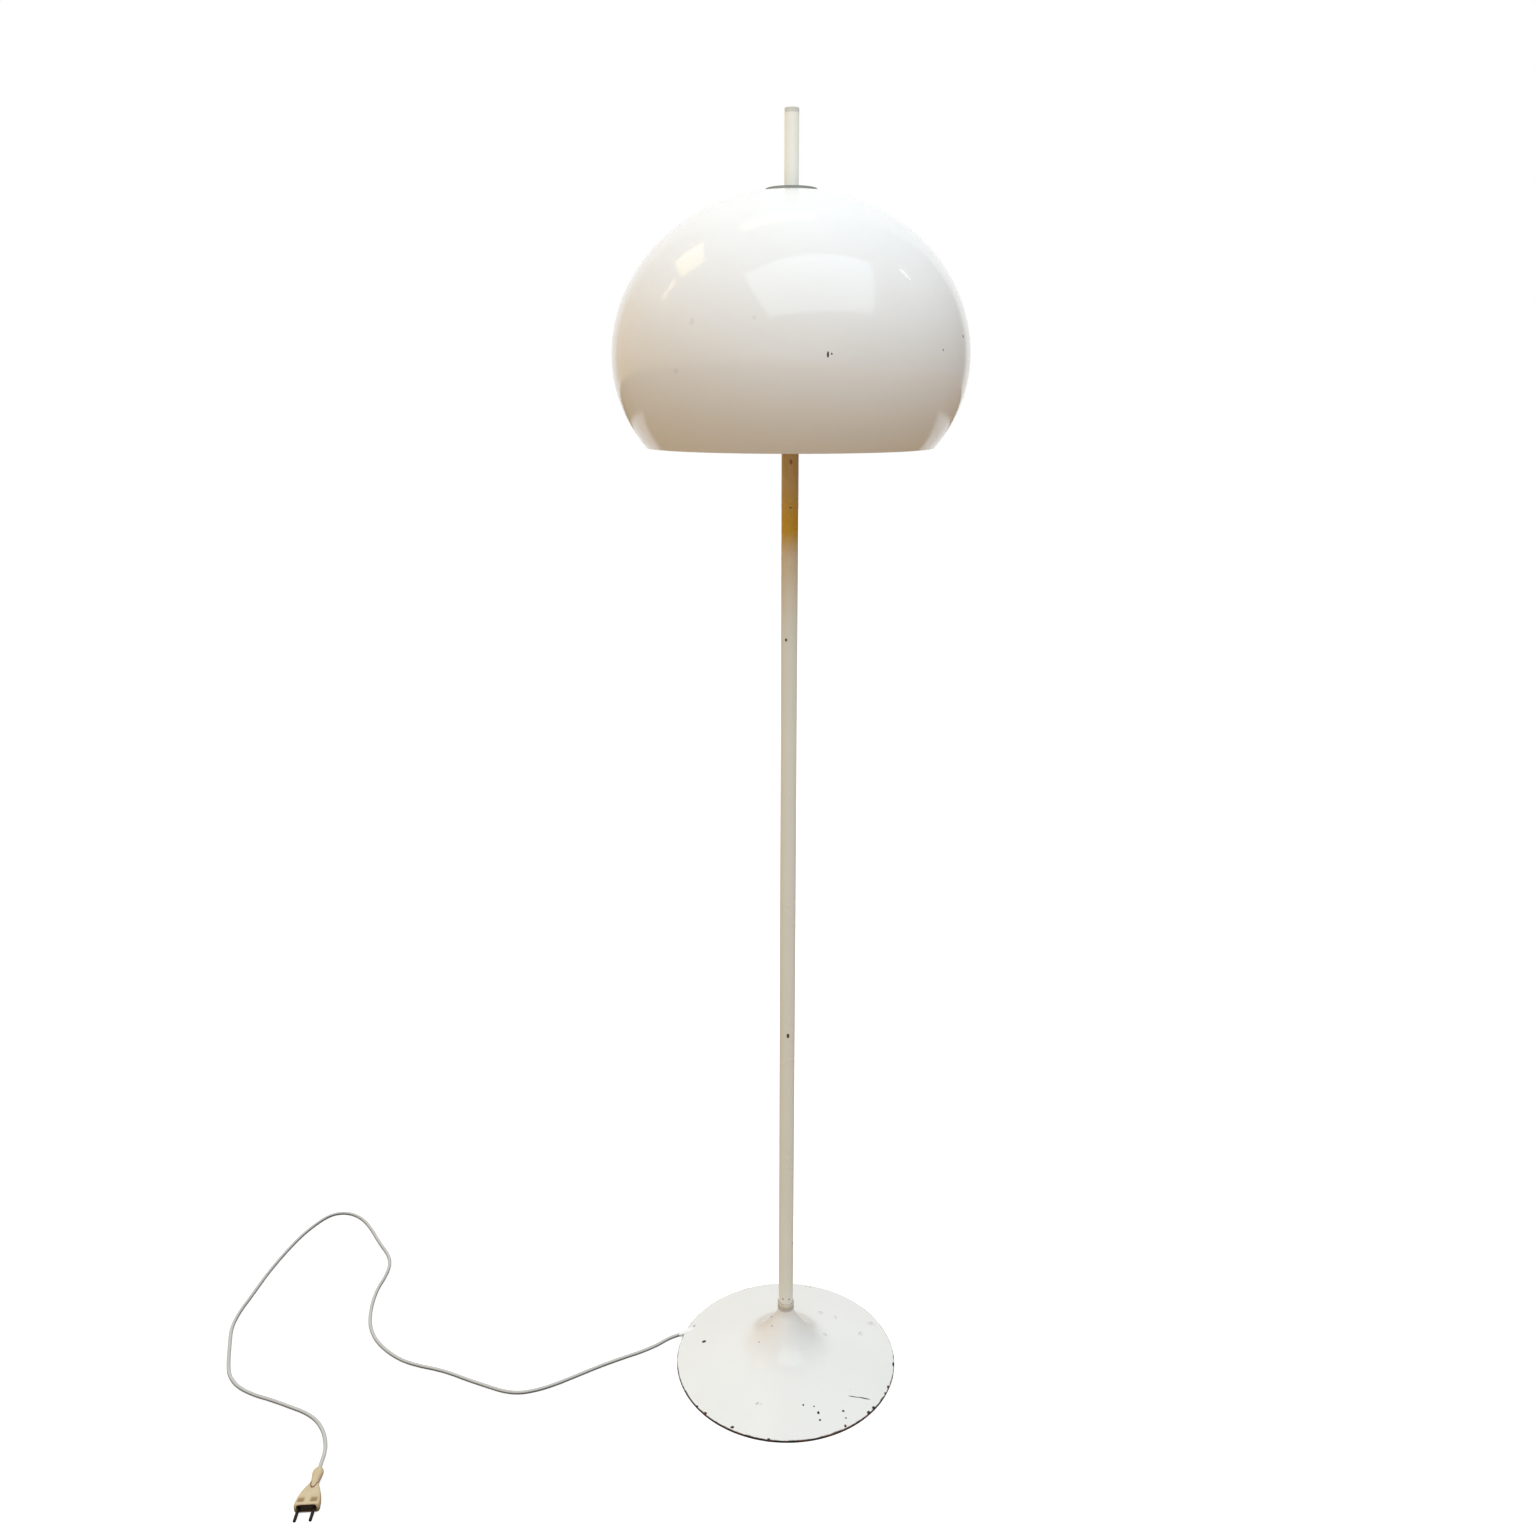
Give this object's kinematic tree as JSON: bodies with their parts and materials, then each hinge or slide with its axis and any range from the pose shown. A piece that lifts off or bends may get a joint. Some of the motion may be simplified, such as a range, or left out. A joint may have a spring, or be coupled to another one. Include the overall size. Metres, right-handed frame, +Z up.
{
  "type": "mushroom floor lamp",
  "caption": "Floor lamp with a trumpet disc base, telescopic pole and a large opal dome shade over a cluster of lampholders, with its mains cord and plug.",
  "frame": {"origin": "centre of the base's underside, on the floor", "axes": "+Z up along the pole; the cord leaves the base to -X and lies on the floor; -Y faces the viewer of the picture"},
  "size_m": [1.0231, 0.6163, 1.62],
  "materials": {
    "white_enamel": "gloss enamel, chipped at the edge",
    "cream_enamel": "satin enamel, yellowed",
    "black_rubber": "matt",
    "grey_iron": "rough cast, painted",
    "zinc_steel": "zinc plated",
    "turned_brass": "turned",
    "collar_metal": "turned, satin",
    "opal_acrylic": "polished opal",
    "pale_nylon": "moulded",
    "grey_metal": "satin",
    "drum_enamel": "satin enamel",
    "dark_bakelite": "moulded, semi-gloss",
    "white_porcelain": "glazed, off-white",
    "lamp_cap_metal": "pressed",
    "frosted_glass": "frosted inside",
    "cord_sheath": "flexible sheath, satin",
    "wire_sheath": "flexible sheath",
    "plug_plastic": "moulded, yellowed",
    "dark_plastic": "moulded",
    "pin_metal": "nickelled, tarnished dark",
    "white_plastic": "moulded"
  },
  "bodies": {
    "stand": {"base_cover": "white_enamel", "foot_ring": "black_rubber", "base_weight": "grey_iron", "base_washer": "zinc_steel", "base_nut": "zinc_steel", "tie_rod": "zinc_steel", "neck_collar": "collar_metal", "tube_foot_plug": "turned_brass", "lower_tube": "cream_enamel", "cord_clamp": "zinc_steel", "cord_clamp_screws": "zinc_steel", "cord_grommet": "white_plastic", "base_lead": "cord_sheath", "mains_cord": "cord_sheath", "plug_body": "plug_plastic", "plug_face": "dark_plastic", "plug_pins": "pin_metal"},
    "swivel": {"clamp_collar": "collar_metal", "collar_liner": "pale_nylon", "collar_grub_screw": "zinc_steel"},
    "thumb_screw": {"clamp_screw": "turned_brass"},
    "head": {"upper_tube": "cream_enamel", "slide_bush": "pale_nylon", "tube_end_plug": "grey_metal", "carrier_sleeve": "zinc_steel", "sleeve_grub_screws": "zinc_steel", "seat_nut": "zinc_steel", "shade_seat": "zinc_steel", "seat_washer": "black_rubber", "shade": "opal_acrylic", "cap_washer": "black_rubber", "shade_cap": "grey_metal", "drum": "drum_enamel", "drum_nut_top": "zinc_steel", "drum_nut_bottom": "zinc_steel", "drum_cover": "drum_enamel", "cover_screws": "zinc_steel", "switch_body": "dark_plastic", "switch_nut": "zinc_steel", "terminal_block": "white_plastic", "holder_nipples": "turned_brass", "holder_nuts": "turned_brass", "upper_lead": "cord_sheath", "holder_leads": "wire_sheath", "holder_cap_1": "dark_bakelite", "holder_skirt_1": "dark_bakelite", "holder_core_1": "white_porcelain", "bulb_cap_1": "lamp_cap_metal", "bulb_glass_1": "frosted_glass", "holder_cap_2": "dark_bakelite", "holder_skirt_2": "dark_bakelite", "holder_core_2": "white_porcelain", "bulb_cap_2": "lamp_cap_metal", "bulb_glass_2": "frosted_glass", "holder_cap_3": "dark_bakelite", "holder_skirt_3": "dark_bakelite", "holder_core_3": "white_porcelain", "bulb_cap_3": "lamp_cap_metal", "bulb_glass_3": "frosted_glass"},
    "button": {"switch_button": "white_plastic"}
  },
  "joints": [
    {"name": "collar_swivel", "type": "hinge", "parent": "stand", "child": "swivel", "pos_m": [0, 0, 1.358], "axis": [0, 0, 1], "range_deg": [-170, 170]},
    {"name": "pole_slide", "type": "slide", "parent": "swivel", "child": "head", "axis": [0, 0, 1], "range_m": [0, 0.25]},
    {"name": "clamp_turn", "type": "hinge", "parent": "swivel", "child": "thumb_screw", "pos_m": [0, 0, 1.371], "axis": [0, -1, 0], "range_deg": [0, 360]},
    {"name": "button_press", "type": "slide", "parent": "head", "child": "button", "axis": [0, 0, 1], "range_m": [0, 0.003], "stiffness_N_per_m": 500, "springref_m": -0.002}
  ]
}
